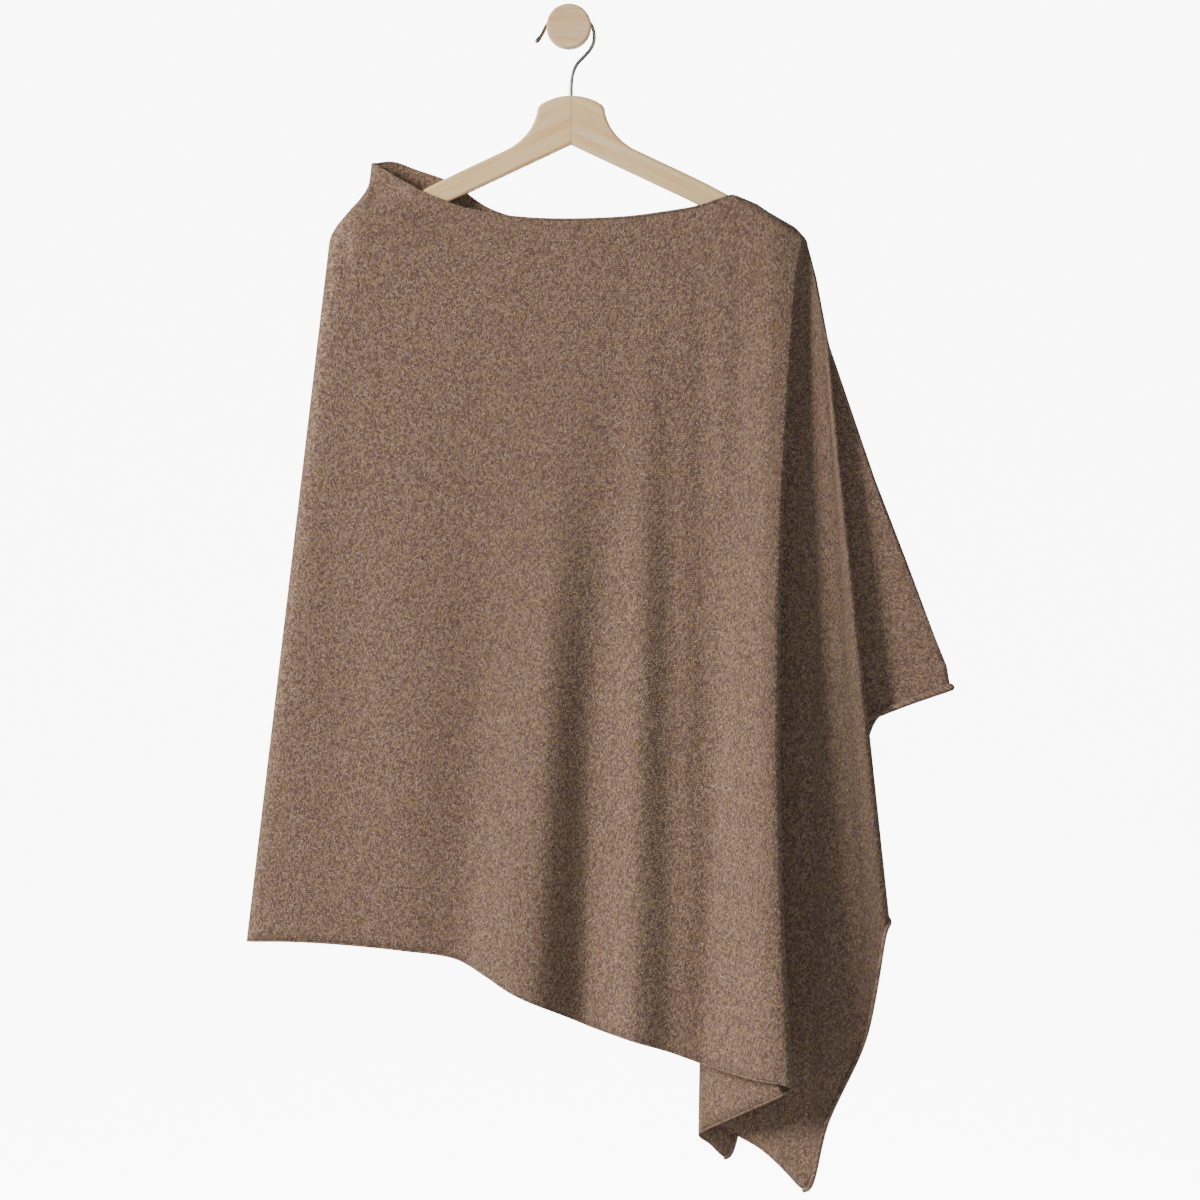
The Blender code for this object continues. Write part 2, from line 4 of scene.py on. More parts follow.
import bpy
import numpy as np
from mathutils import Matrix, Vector


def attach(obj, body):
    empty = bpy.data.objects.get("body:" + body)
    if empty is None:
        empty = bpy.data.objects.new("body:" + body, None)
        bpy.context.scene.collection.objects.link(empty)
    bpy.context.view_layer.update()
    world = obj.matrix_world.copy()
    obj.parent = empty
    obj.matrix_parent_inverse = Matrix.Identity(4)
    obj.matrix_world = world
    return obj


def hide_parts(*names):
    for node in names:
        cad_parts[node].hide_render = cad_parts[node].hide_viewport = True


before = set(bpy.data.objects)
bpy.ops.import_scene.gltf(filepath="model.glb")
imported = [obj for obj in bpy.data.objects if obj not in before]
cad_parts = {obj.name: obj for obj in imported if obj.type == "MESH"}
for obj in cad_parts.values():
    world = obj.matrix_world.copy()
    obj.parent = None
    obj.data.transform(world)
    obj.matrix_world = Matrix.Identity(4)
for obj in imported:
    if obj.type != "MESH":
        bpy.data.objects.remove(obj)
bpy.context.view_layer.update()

mm = 0.001
print("frame loaded")


# Helpers
def toLinear(code):
    # hex colour as a screen shows it, to the linear values that the shader takes
    values = [int(code[k:k + 2], 16) / 255 for k in (1, 3, 5)]
    return tuple(v / 12.92 if v <= 0.04045 else ((v + 0.055) / 1.055) ** 2.4 for v in values) + (1.0,)


def smooth(value, low, high):
    t = np.clip((value - low) / (high - low), 0.0, 1.0)
    return t * t * (3.0 - 2.0 * t)


def distances(points):
    # how far along its line each point lies
    return np.concatenate([[0], np.cumsum(np.linalg.norm(np.diff(points, axis=0), axis=1))])


def newMaterial(name):
    mat = bpy.data.materials.new(name)
    mat.use_nodes = True
    return mat, mat.node_tree, mat.node_tree.nodes["Principled BSDF"]


def addNode(tree, kind, settings=None, **inputs):
    # one shader node: settings are its own properties, inputs are values or sockets to link
    node = tree.nodes.new("ShaderNode" + kind)
    for key, value in (settings or {}).items():
        setattr(node, key, value)
    for key, value in inputs.items():
        numbered = key[0] == "i" and key[1:].isdigit()
        socket = node.inputs[int(key[1:]) if numbered else key.replace("_", " ")]
        if isinstance(value, bpy.types.NodeSocket):
            tree.links.new(value, socket)
        else:
            socket.default_value = value
    return node


def maths(tree, operation, first, second=0.0):
    return addNode(tree, "Math", {"operation": operation}, i0=first, i1=second).outputs[0]


def weighted(tree, values, weights):
    # sum of the values, each times its weight
    parts = [maths(tree, "MULTIPLY", value, weight) for value, weight in zip(values, weights)]
    total = parts[0]
    for part in parts[1:]:
        total = maths(tree, "ADD", total, part)
    return total


def mapped(tree, value, fromSpan, toSpan=(0.0, 1.0), curve="LINEAR"):
    node = addNode(tree, "MapRange", {"interpolation_type": curve}, Value=value,
                   i1=fromSpan[0], i2=fromSpan[1], i3=toSpan[0], i4=toSpan[1])
    return node.outputs[0]


def scaled(tree, place, scale):
    return addNode(tree, "Mapping", None, Vector=place, Scale=scale).outputs[0]


def noise(tree, place, scale, detail, roughness=0.5, distortion=0.0):
    node = addNode(tree, "TexNoise", None, Vector=place, Scale=scale, Detail=detail,
                   Roughness=roughness, Distortion=distortion)
    return node.outputs["Fac"]


def ramp(tree, factor, stops):
    node = addNode(tree, "ValToRGB", None, Fac=factor)
    band = node.color_ramp
    while len(band.elements) < len(stops):
        band.elements.new(0.5)
    for element, (place, code) in zip(band.elements, stops):
        element.position = place
        element.color = toLinear(code)
    return node.outputs["Color"]


def makeMesh(name, verts, faces, mat, uvs=None):
    mesh = bpy.data.meshes.new(name)
    mesh.from_pydata([tuple(v) for v in np.array(verts) * mm], [], faces)
    if uvs is not None:
        layer = mesh.uv_layers.new(name="flatCut")
        for loop in mesh.loops:
            layer.data[loop.index].uv = uvs[loop.vertex_index]
    mesh.shade_smooth()
    mesh.materials.append(mat)
    obj = bpy.data.objects.new(name, mesh)
    bpy.context.scene.collection.objects.link(obj)
    return obj


# Knit: fine plain jersey in brown melange yarn, wales down the cut's v, courses across its u
knitLook = {
    "wale": 2.8 * mm,             # width of one stitch
    "course": 2.0 * mm,           # height of one stitch
    "legSlant": 1.1,              # slant of a stitch's legs, in courses
    "stitchBase": 0.35,           # height that is left between two wales
    "fibreScale": 1150.0,
    "melangeScale": 760.0,
    "melangeStretch": (1.0, 0.55, 1.0),
    "fleckWeights": (0.42, 0.20, 1.08),   # of the stitch, the fibres and the melange
    "fleckSpan": (0.58, 1.12),
    "fleckStops": ((0.0, "#3a2f2b"), (0.20, "#5d5048"), (0.42, "#826e62"), (0.60, "#978270"),
                   (0.78, "#b59b76"), (0.90, "#958c90"), (1.0, "#d8c8b2")),
    "patchScale": 210.0,
    "patchStretch": (1.0, 0.42, 1.0),
    "patchShare": 0.42,
    "patchStops": ((0.34, "#7b7168"), (0.44, "#8c6c6a"), (0.55, "#8f7763"), (0.66, "#ab8c58")),
    "shadeSpan": (0.52, 1.32),    # painted shade in the gaps to painted light on the tops of the stitches
    "roughness": 0.93,
    "sheen": 0.12,
    "specular": 0.2,
    "bumpStrength": 0.75,
    "bumpDistance": 0.5 * mm,
    "bumpFibres": 0.5,
}


def makeKnit():
    mat, tree, shader = newMaterial("brown melange jersey knit")
    look = knitLook
    cut = addNode(tree, "UVMap", {"uv_map": "flatCut"}).outputs["UV"]
    split = addNode(tree, "SeparateXYZ", None, Vector=cut)
    u = maths(tree, "DIVIDE", split.outputs["X"], look["wale"])
    v = maths(tree, "DIVIDE", split.outputs["Y"], look["course"])
    # each wale is a column of V stitches
    acrossWale = maths(tree, "ABSOLUTE", maths(tree, "SUBTRACT", maths(tree, "FRACT", u), 0.5))
    slanted = maths(tree, "ADD", v, maths(tree, "MULTIPLY", acrossWale, look["legSlant"]))
    leg = maths(tree, "SINE", maths(tree, "MULTIPLY", maths(tree, "FRACT", slanted), math.pi))
    waleBody = maths(tree, "SINE", maths(tree, "MULTIPLY", acrossWale, 2 * math.pi))
    raised = maths(tree, "MULTIPLY", waleBody, 1 - look["stitchBase"])
    stitch = maths(tree, "MULTIPLY", leg, maths(tree, "ADD", look["stitchBase"], raised))
    # yarn flecks: one value a stitch leg, with fibres and melange over it
    stitchCell = addNode(tree, "CombineXYZ", None, X=maths(tree, "FLOOR", maths(tree, "MULTIPLY", u, 2.0)),
                         Y=maths(tree, "FLOOR", slanted))
    perStitch = addNode(tree, "TexWhiteNoise", {"noise_dimensions": "2D"}, Vector=stitchCell.outputs[0])
    fibres = noise(tree, cut, look["fibreScale"], 3.0, 0.6)
    melange = noise(tree, scaled(tree, cut, look["melangeStretch"]), look["melangeScale"], 3.0, 0.7)
    mixed = weighted(tree, (perStitch.outputs["Value"], fibres, melange), look["fleckWeights"])
    flecks = ramp(tree, mapped(tree, mixed, look["fleckSpan"]), look["fleckStops"])
    # where grey, mauve or ochre fibres gather, longer down the wales
    patches = noise(tree, scaled(tree, cut, look["patchStretch"]), look["patchScale"], 3.0, 0.8)
    patchColour = ramp(tree, patches, look["patchStops"])
    tinted = addNode(tree, "Mix", {"data_type": "RGBA", "blend_type": "MIX"}, i0=look["patchShare"],
                     i6=flecks, i7=patchColour).outputs[2]
    # painted shade in the gaps between the stitches and painted light on their tops, multiplied into the
    # yarn colour
    shade = mapped(tree, stitch, (0.0, 1.0), look["shadeSpan"])
    shadeColour = addNode(tree, "CombineColor", None, i0=shade, i1=shade, i2=shade).outputs[0]
    shaded = addNode(tree, "Mix", {"data_type": "RGBA", "blend_type": "MULTIPLY"}, i0=1.0,
                     i6=tinted, i7=shadeColour).outputs[2]
    height = maths(tree, "ADD", stitch, maths(tree, "MULTIPLY", fibres, look["bumpFibres"]))
    bump = addNode(tree, "Bump", None, Strength=look["bumpStrength"], Distance=look["bumpDistance"],
                   Height=height)
    tree.links.new(shaded, shader.inputs["Base Color"])
    tree.links.new(bump.outputs[0], shader.inputs["Normal"])
    shader.inputs["Roughness"].default_value = look["roughness"]
    shader.inputs["Sheen Weight"].default_value = look["sheen"]
    shader.inputs["Specular IOR Level"].default_value = look["specular"]
    return mat


# Wood: pale planed wood with fine long grain
woodLook = {
    "grainScale": 1.6,
    "grainStretch": (5.0, 70.0, 110.0),
    "grainWeights": (0.78, 0.22),         # of the grain and the pores
    "poreStretch": (40.0, 900.0, 900.0),
    "stopsAt": (0.30, 0.45, 0.62),        # streak, middle and pale tone
    "bumpStrength": 0.12,
    "bumpDistance": 0.15 * mm,
}


def makeWood(name, grainTurn, pale, mid, streak, roughness=0.5):
    # grainTurn: angle of the grain about Y, in degrees
    mat, tree, shader = newMaterial(name)
    look = woodLook
    place = addNode(tree, "TexCoord").outputs["Object"]
    rotation = (0.0, math.radians(grainTurn), 0.0)
    turned = addNode(tree, "Mapping", None, Vector=place, Rotation=rotation).outputs[0]
    grain = noise(tree, scaled(tree, turned, look["grainStretch"]), look["grainScale"], 5.0, 0.6, 0.35)
    pores = noise(tree, scaled(tree, turned, look["poreStretch"]), 1.0, 2.0)
    value = weighted(tree, (grain, pores), look["grainWeights"])
    colour = ramp(tree, value, tuple(zip(look["stopsAt"], (streak, mid, pale))))
    bump = addNode(tree, "Bump", None, Strength=look["bumpStrength"], Distance=look["bumpDistance"],
                   Height=value)
    tree.links.new(colour, shader.inputs["Base Color"])
    tree.links.new(bump.outputs[0], shader.inputs["Normal"])
    shader.inputs["Roughness"].default_value = roughness
    return mat


steelLook = {"colour": "#7d7c7b", "markScale": 420.0, "markSpan": (0.3, 0.7), "roughness": (0.22, 0.36)}


def makeSteel():
    mat, tree, shader = newMaterial("bright zinc plated wire")
    place = addNode(tree, "TexCoord").outputs["Object"]
    marks = noise(tree, place, steelLook["markScale"], 3.0)
    rough = mapped(tree, marks, steelLook["markSpan"], steelLook["roughness"])
    tree.links.new(rough, shader.inputs["Roughness"])
    shader.inputs["Base Color"].default_value = toLinear(steelLook["colour"])
    shader.inputs["Metallic"].default_value = 1.0
    return mat


def makePlain(name, code, roughness):
    mat, _, shader = newMaterial(name)
    shader.inputs["Base Color"].default_value = toLinear(code)
    shader.inputs["Roughness"].default_value = roughness
    return mat


knit = makeKnit()
woodLeft = makeWood("pale birch, grain up to the right", 25, "#ffe6ba", "#fcd89c", "#efbf7a")
woodRight = makeWood("pale birch, grain down to the right", -25, "#ffe8bd", "#fddaa0", "#f1c27f")
woodPeg = makeWood("turned pale beech", 0, "#fbe2be", "#f3d2a4", "#dcb080", 0.6)
steel = makeSteel()
print("materials made")


# The cloth's lines
# A line runs down the cloth from its top edge to its lower edge, in millimetres in the frame of the part.
# A NeckLine starts at the neck opening, the others at a place along the shoulder seam. A PocketLine is set
# from the rear fold beside it. Each ends at footX, footY and footZ, and rise is the power with which it
# moves out to footY. A line with a radius stands for the nose of a fold.
NeckLine = namedtuple("NeckLine", "name topX topZ topY footX footZ footY lean rise bow", defaults=(0.0,))
SeamLine = namedtuple("SeamLine", "name along nearY footX footZ footY bow rise radius aim climb",
                      defaults=(0.0, 1.0, 0.0, 0.0, 0.0))
PocketLine = namedtuple("PocketLine",
                        "name along upperX upperY midX midY footX footZ footY radius aim climb",
                        defaults=(0.0, 0.0, 0.0))
clothShape = {
    "thickness": 1.8,
    "topShares": (0.0, 0.0014, 0.0047, 0.0106, 0.022),   # of a line, at the first rows
    "rowCount": 15,               # rows of the plain solid, whose spacing this surface follows
    "rowCrowding": 1.25,
    "closeRows": 13,              # rows of this surface over the arm
    "lowRows": 92,                # and from there down
    "flapAlong": (90, 300),       # places along the seam between which the rows turn even
    "frontHangY": -54.5,
    "backHangY": -35.5,
    "leanFade": (0.02, 0.10),     # share of a neck line in which its lean goes out
    "armDrape": 9.0,              # drop in which the cloth has bent down over its support
    "armClear": 9.0,              # height above the arm where that begins
    "sideFold": (3.0, 9.5, 6.5),  # radius above the arm, beside its end and at the hem
    "sideFoldFull": (150, 182),   # depths between which its radius grows
    "sideFoldLow": (260, 880),    # and shrinks again
    "sideFoldShares": (0.3, 0.7, 1.0),
    "frontOpen": (0.0, 0.07),
    "pocketShares": (0.12, 0.46, 0.74),
    "pocketFlat": 0.6,            # share of upperX that is left where the pocket is flat
    "foldSpacing": 3.0,
    "foldRowSpacing": 2.4,
    "foldAngles": (-80, -53, -27, 0, 27, 53, 80),
    "foldTopShare": 0.5,          # of its radius, where the back's fold begins
    "foldedBlend": 0.1,
    "spanStep": 5.0,              # distance between columns
    "spanRow": 0.93,              # row at which it is measured, as t
    "normalReach": 1.6,
    "seamHalfGap": 1.05,          # from the seam to the middle of each layer
}

frontLines = (
    NeckLine("sideFold", -191, -131, -45.4, -312, -882, -45.4, 32, 1.0),
    NeckLine("stub", -166, -144, -52.0, -268, -882, -55, 21, 1.5),
    NeckLine("armCross", -135, -161, -54.0, -216, -885, -59, 11, 1.5),
    NeckLine("leftFlat", -101, -173.5, -55.0, -163, -890, -57, 4, 2.0),
    NeckLine("riseFoot", -67, -180, -55.5, -110, -898, -57, 0, 2.0),
    NeckLine("crestASide", -38, -183, -55.5, -82, -913, -70, 0, 2.0),
    NeckLine("crestA", -9, -184, -55.5, -54, -930, -82, 0, 2.0),
    NeckLine("valleyASide", 25, -183.5, -55.5, -18, -946, -74, 0, 1.7),
    NeckLine("valleyA", 59, -181.5, -55.5, 20, -963, -62, 0, 1.6),
    NeckLine("crestB", 93, -177, -55.5, 68, -977, -80, 0, 1.5),
    NeckLine("valleyBSide", 127, -171, -55.0, 99, -987, -77, 0, 1.4),
    NeckLine("rimEnd", 149, -163.3, -54.3, 117, -993.5, -73, 0, 1.4),
    NeckLine("rimOver", 159.5, -159.4, -52.8, 124, -996, -72, 0, 1.4),
    SeamLine("valleyB", 7, -54.5, 131, -999, -73, rise=1.4),
    SeamLine("crestCSide", 24, -54.5, 159, -1005.5, -94, bow=-4, rise=1.15),
    SeamLine("crestC", 48, -54.5, 186, -1010, -116, bow=-8, rise=1.05),
    SeamLine("fold1", 72, -51.5, 213, -1015, -117, bow=-16, radius=8.0, aim=35, climb=-7),
    SeamLine("fold2", 88, -47.0, 135, -1054, -49, bow=-20, radius=5.0, aim=205, climb=-8),
    SeamLine("innerSide", 104, -46.0, 163, -1070.5, -46, bow=-14),
    SeamLine("hemBend", 116, -47.0, 187, -1083.5, -53, bow=-8),
    SeamLine("hemEnd", 128, -48.0, 212, -1106, -60, bow=-4),
    SeamLine("corner", 134, -48.5, 228, -1121, -64),
    SeamLine("edgeLow", 141, -49.0, 247, -1056, -66),
    SeamLine("edgeMid", 149, -49.5, 283, -978, -66),
    SeamLine("edgeHigh", 159, -50.0, 294, -932, -63),
    SeamLine("fold3", 178, -51.0, 310, -861, -54, radius=6.0, aim=-10, climb=12),
    SeamLine("fold4", 202, -42.0, 200, -713, -38, bow=-6, radius=4.5, aim=190, climb=14),
    SeamLine("flapInner", 250, -42.0, 243, -685, -35.5),
    SeamLine("flapMiddle", 330, -41.5, 290, -665, -37.5),
    SeamLine("flapOuter", 430, -41.5, 327, -650, -40),
    SeamLine("flapEnd", 522, -41.5, 370, -635, -43),
)

backLines = (
    NeckLine("sideFold", -191, -129, -44.6, -312, -882, -44.6, 32, 1.0),
    NeckLine("stub", -172, -127, -38.5, -268, -880, -33, 24, 1.5),
    NeckLine("armCross", -148, -135, -36.0, -216, -880, -29, 14, 1.5),
    NeckLine("backDip", -115, -147, -35.5, -163, -882, -32, 5, 1.5),
    NeckLine("backLow", -80, -171, -35.5, -110, -888, -30, 0, 1.5),
    NeckLine("backValley", -48, -181.5, -35.5, -60, -906, -22, 0, 1.5),
    NeckLine("backMiddle", -9, -186, -35.5, -12, -934, -30, 0, 1.5),
    NeckLine("backCrest", 38, -186, -35.5, 34, -960, -24, 0, 1.5),
    NeckLine("backSlope", 85, -181, -35.5, 74, -970, -36, 0, 1.3),
    NeckLine("backTurn", 127, -174, -35.5, 100, -982, -49, 0, 1.2, bow=-9),
    NeckLine("rimEnd", 149, -166, -35.6, 113, -988, -55, 0, 1.2, bow=-13),
    NeckLine("rimOver", 159.5, -160.0, -37.0, 122, -992, -60, 0, 1.2, bow=-15),
    PocketLine("pocketSide", 8, -36, 0.5, -6.5, -7.5, 148, -1001, -79),
    PocketLine("pocketFront", 40, -24, 0, -1.5, -11.5, 177, -1010, -101),
    PocketLine("fold1", 70, -13, 0, 3.0, -12.0, 204, -1021, -113, radius=3.4, aim=35, climb=-5),
    SeamLine("fold2", 88, -37.0, 126, -1072, -46, bow=-25, radius=9.5, aim=205, climb=-14),
    SeamLine("corner", 110, -35.5, 153, -1094, -34, bow=-18),
    SeamLine("edgeLow", 128, -35.0, 172, -1030, -28, bow=-10),
    SeamLine("edgeMid", 160, -35.0, 212, -922, -22),
    SeamLine("edgeHigh", 200, -35.5, 252, -822, -27),
    SeamLine("edgeTurn", 250, -36.0, 276, -736, -23),
    SeamLine("flapMiddle", 330, -37.0, 298, -663, -27),
    SeamLine("flapOuter", 430, -38.0, 330, -649, -31),
    SeamLine("flapEnd", 522, -38.5, 370, -635, -37),
)

SeamPoint = namedtuple("SeamPoint", "along x z y")
seamPoints = (
    SeamPoint(0, 161, -160.6, -45),
    SeamPoint(23, 182, -169.4, -45),
    SeamPoint(36, 193, -177.0, -45),
    SeamPoint(66, 219, -192.0, -45),
    SeamPoint(81, 229, -203.0, -45),
    SeamPoint(121, 239, -241.5, -45),
    SeamPoint(185, 251, -304.5, -44),
    SeamPoint(324, 296, -435.5, -40.5),
    SeamPoint(407, 326, -513.0, -40),
    SeamPoint(490, 355, -590.5, -39.5),
    SeamPoint(540, 374, -637.0, -39),
)

hangerShape = {
    "middleX": 2.0,
    "middleY": -45.0,
    "armTopZ": -86.3,
    "armSlope": 0.470,
    "armDroop": 0.0009,
    "droopStart": 110.0,
}


def seamPoint(along):
    marks = [p.along for p in seamPoints]
    return np.array([np.interp(along, marks, [p[k] for p in seamPoints]) for k in (1, 3, 2)])


def armTop(x):
    out = abs(x - hangerShape["middleX"])
    droop = hangerShape["armDroop"] * max(0.0, out - hangerShape["droopStart"]) ** 2
    return hangerShape["armTopZ"] - hangerShape["armSlope"] * out - droop


def lineTop(line, side):
    if isinstance(line, NeckLine):
        return np.array([line.topX, line.topY, line.topZ], dtype=float)
    point = seamPoint(line.along)
    point[1] += clothShape["seamHalfGap"] * (-1 if side == "front" else 1)
    return point


def rowShare(line, t):
    # share of a line at t, which is 0 at the top edge and 1 at the foot
    tops = clothShape["topShares"]
    row = t * clothShape["rowCount"]
    if row < len(tops) - 1:
        close = float(np.interp(row, range(len(tops)), tops))
    else:
        low = (row - len(tops) + 1) / (clothShape["rowCount"] - len(tops) + 1)
        close = tops[-1] + (1 - tops[-1]) * low ** clothShape["rowCrowding"]
    flap = 0.0 if isinstance(line, NeckLine) else smooth(line.along, *clothShape["flapAlong"])
    return close + (t - close) * flap


def bendOverArm(drop):
    left = 1.0 - min(max(drop / clothShape["armDrape"], 0.0), 1.0)
    return math.sqrt(1.0 - left * left)


def sideRadius(z):
    slim, full, low = clothShape["sideFold"]
    grown = float(smooth(-z, *clothShape["sideFoldFull"]))
    lowered = float(smooth(-z, *clothShape["sideFoldLow"]))
    return slim + (full - slim) * grown + (low - full) * lowered


def neckLinePoint(line, v, side):
    top = lineTop(line, side)
    lean = line.lean * (1 - smooth(v, *clothShape["leanFade"]))
    x = (top[0] - line.lean) * (1 - v) + line.footX * v + lean
    x += line.bow * 4 * v * (1 - v)
    z = top[2] * (1 - v) + line.footZ * v
    if line.name == "sideFold":
        return np.array([x, line.footY, z])
    hangY = clothShape["frontHangY"] if side == "front" else clothShape["backHangY"]
    over = bendOverArm(min(top[2], armTop(x) + clothShape["armClear"]) - z)
    startY = top[1] + (hangY - top[1]) * over
    return np.array([x, startY + (line.footY - startY) * v ** line.rise, z])


def seamLinePoint(line, v, side):
    top = lineTop(line, side)
    x = top[0] * (1 - v) + line.footX * v + line.bow * 4 * v * (1 - v)
    z = top[2] * (1 - v) + line.footZ * v
    startY = top[1] + (line.nearY - top[1]) * bendOverArm(top[2] - z)
    return np.array([x, startY + (line.footY - startY) * v ** line.rise, z])


def pocketPoint(line, lines, v, side):
    # the back's lines beside its rear fold, which run into the front fold lower down
    rear = next(other for other in lines if other.name == "fold2")
    top = lineTop(line, side)
    apart = lineTop(rear, side) - top
    first, flat, folded = clothShape["pocketShares"]
    shares = (0.0, first, flat, folded, 1.0)
    flatX = line.upperX * clothShape["pocketFlat"]
    besideX = (-apart[0], line.upperX, flatX, line.midX, line.footX - rear.footX)
    besideY = (-apart[1], line.upperY, line.upperY, line.midY, line.footY - rear.footY)
    beside = np.array([np.interp(v, shares, besideX), np.interp(v, shares, besideY), 0.0])
    point = seamLinePoint(rear, v, side) + beside
    point[2] = top[2] * (1 - v) + line.footZ * v
    return point


def linePoint(line, lines, v, side):
    if isinstance(line, NeckLine):
        return neckLinePoint(line, v, side)
    if isinstance(line, PocketLine):
        return pocketPoint(line, lines, v, side)
    return seamLinePoint(line, v, side)


def foldColumns(line, lines, v, side):
    top = lineTop(line, side)
    nose = linePoint(line, lines, v, side)
    aim = math.radians(line.aim)
    ahead = np.array([math.cos(aim), -math.sin(aim), 0.0])
    turn = 1.0 if math.cos(aim) > 0 else -1.0
    across = np.array([math.sin(aim), math.cos(aim), 0.0]) * turn
    if side == "front":
        shut = 1 - smooth(v, *clothShape["frontOpen"])
        radius = line.radius * v ** 0.5 * (1 - shut)
        lowSpacing = 0.0
    else:
        first, flat, folded = clothShape["pocketShares"]
        shut = 1 - smooth(v, 0.0, first)
        formed = smooth(v, flat, folded + clothShape["foldedBlend"])
        topShare = clothShape["foldTopShare"]
        radius = line.radius * (formed * v) ** 0.5 * (topShare + (1 - topShare) * v)
        lowSpacing = clothShape["foldRowSpacing"] * (1 - shut) * (1 - formed)
    points = []
    for angle in clothShape["foldAngles"]:
        theta = math.radians(angle)
        place = angle / clothShape["foldAngles"][-1]
        ownTop = lineTop(line._replace(along=line.along + place * clothShape["foldSpacing"]), side)
        bend = ahead * (math.cos(theta) - 1) + across * math.sin(theta)
        row = np.array([place * lowSpacing, 0.0, place * line.climb / 2 * v * (1 - shut)])
        points.append(nose + (ownTop - top) * shut + row + bend * radius)
    return points


def controlSection(lines, t, side):
    points = []
    for line in lines:
        v = rowShare(line, t)
        if not isinstance(line, NeckLine) and line.radius:
            points.extend(foldColumns(line, lines, v, side))
            continue
        point = linePoint(line, lines, v, side)
        if line.name == "sideFold":
            point[1] = hangerShape["middleY"]
            radius = sideRadius(point[2])
            turn = -1 if side == "front" else 1
            points.append(point)
            for share in clothShape["sideFoldShares"]:
                angle = share * math.pi / 2
                bend = [radius * (1 - math.cos(angle)), turn * radius * math.sin(angle), 0.0]
                points.append(point + np.array(bend))
            continue
        points.append(point)
    return np.array(points)


def spanCounts(lines, side):
    section = controlSection(lines, clothShape["spanRow"], side)
    lengths = np.linalg.norm(np.diff(section, axis=0), axis=1)
    return np.maximum(1, np.round(lengths / clothShape["spanStep"])).astype(int)


def curveThrough(points, counts):
    # centripetal curve through the points, with as many samples in each span as counts says
    ends = np.vstack([2 * points[0] - points[1], points, 2 * points[-1] - points[-2]])
    knots = np.concatenate([[0], np.cumsum(np.linalg.norm(np.diff(ends, axis=0), axis=1) ** 0.5 + 1e-3)])
    samples = [points[0]]
    for k, count in enumerate(counts):
        p0, p1, p2, p3 = ends[k:k + 4]
        t0, t1, t2, t3 = knots[k:k + 4]
        for step in range(1, count + 1):
            t = t1 + (t2 - t1) * step / count
            a1 = p0 + (p1 - p0) * (t - t0) / (t1 - t0)
            a2 = p1 + (p2 - p1) * (t - t1) / (t2 - t1)
            a3 = p2 + (p3 - p2) * (t - t2) / (t3 - t2)
            b1 = a1 + (a2 - a1) * (t - t0) / (t2 - t0)
            b2 = a2 + (a3 - a2) * (t - t1) / (t3 - t1)
            samples.append(b1 + (b2 - b1) * (t - t1) / (t2 - t1))
    return np.array(samples)


def rowTimes():
    # close rows over the arm, then rows 8 to 10 mm apart
    closeEnd = (len(clothShape["topShares"]) - 1) / clothShape["rowCount"]
    tops = np.linspace(0.0, closeEnd, clothShape["closeRows"])
    return np.concatenate([tops, np.linspace(closeEnd, 1.0, clothShape["lowRows"])[1:]])


def clothSurface(lines, side):
    counts = spanCounts(lines, side)
    grid = [curveThrough(controlSection(lines, t, side), counts) for t in rowTimes()]
    return np.transpose(np.array(grid), (1, 0, 2))


def easeAcross(grid, passes):
    # takes the small corners out of each row where its points lie close together
    for _ in range(passes):
        middle = grid[1:-1] * 0.5 + (grid[:-2] + grid[2:]) * 0.25
        grid = np.concatenate([grid[:1], middle, grid[-1:]])
    return grid


def columnOf(lines, side, name):
    counts = spanCounts(lines, side)
    position = 0
    for line in lines:
        if line.name == name:
            break
        position += 1
        if line.name == "sideFold":
            position += len(clothShape["sideFoldShares"])
        elif not isinstance(line, NeckLine) and line.radius:
            position += len(clothShape["foldAngles"]) - 1
    return int(sum(counts[:position]))


def surfaceNormals(grid):
    across = np.empty_like(grid)
    reach = clothShape["normalReach"]
    for row in range(grid.shape[1]):
        points = grid[:, row]
        along = distances(points)
        for axis in range(3):
            ahead = np.interp(along + reach, along, points[:, axis])
            across[:, row, axis] = ahead - np.interp(along - reach, along, points[:, axis])
    normals = np.cross(np.gradient(grid, axis=1), across)
    return normals / np.linalg.norm(normals, axis=2, keepdims=True)


# The poncho: one folded rectangle, front and back in one sheet
ponchoCut = {
    "width": 1.68,                # both panels, opened out
    "length": 0.745,
    "panelWidth": 0.84,
}


def flatCut(grid, corner):
    # where each point lies on the flat rectangle: u from the side fold, v from the top edge, in metres
    width, length = ponchoCut["panelWidth"], ponchoCut["length"]
    top = distances(grid[:, 0])
    topU = top / top[-1] * width
    foot = distances(grid[:, -1])
    footU = np.minimum(foot / foot[corner], 1.0) * width
    pastCorner = (foot - foot[corner]) / (foot[-1] - foot[corner])
    footV = np.where(foot <= foot[corner], length, length * (1 - pastCorner))
    runs = [distances(column) for column in grid]
    shares = np.array([run / max(run[-1], 1e-6) for run in runs])
    u = topU[:, None] * (1 - shares) + footU[:, None] * shares
    v = footV[:, None] * shares
    return np.stack([u, v], axis=2)


def gridFaces(columns, rows):
    return [[c * rows + r, c * rows + r + 1, (c + 1) * rows + r + 1, (c + 1) * rows + r]
            for c in range(columns - 1) for r in range(rows - 1)]


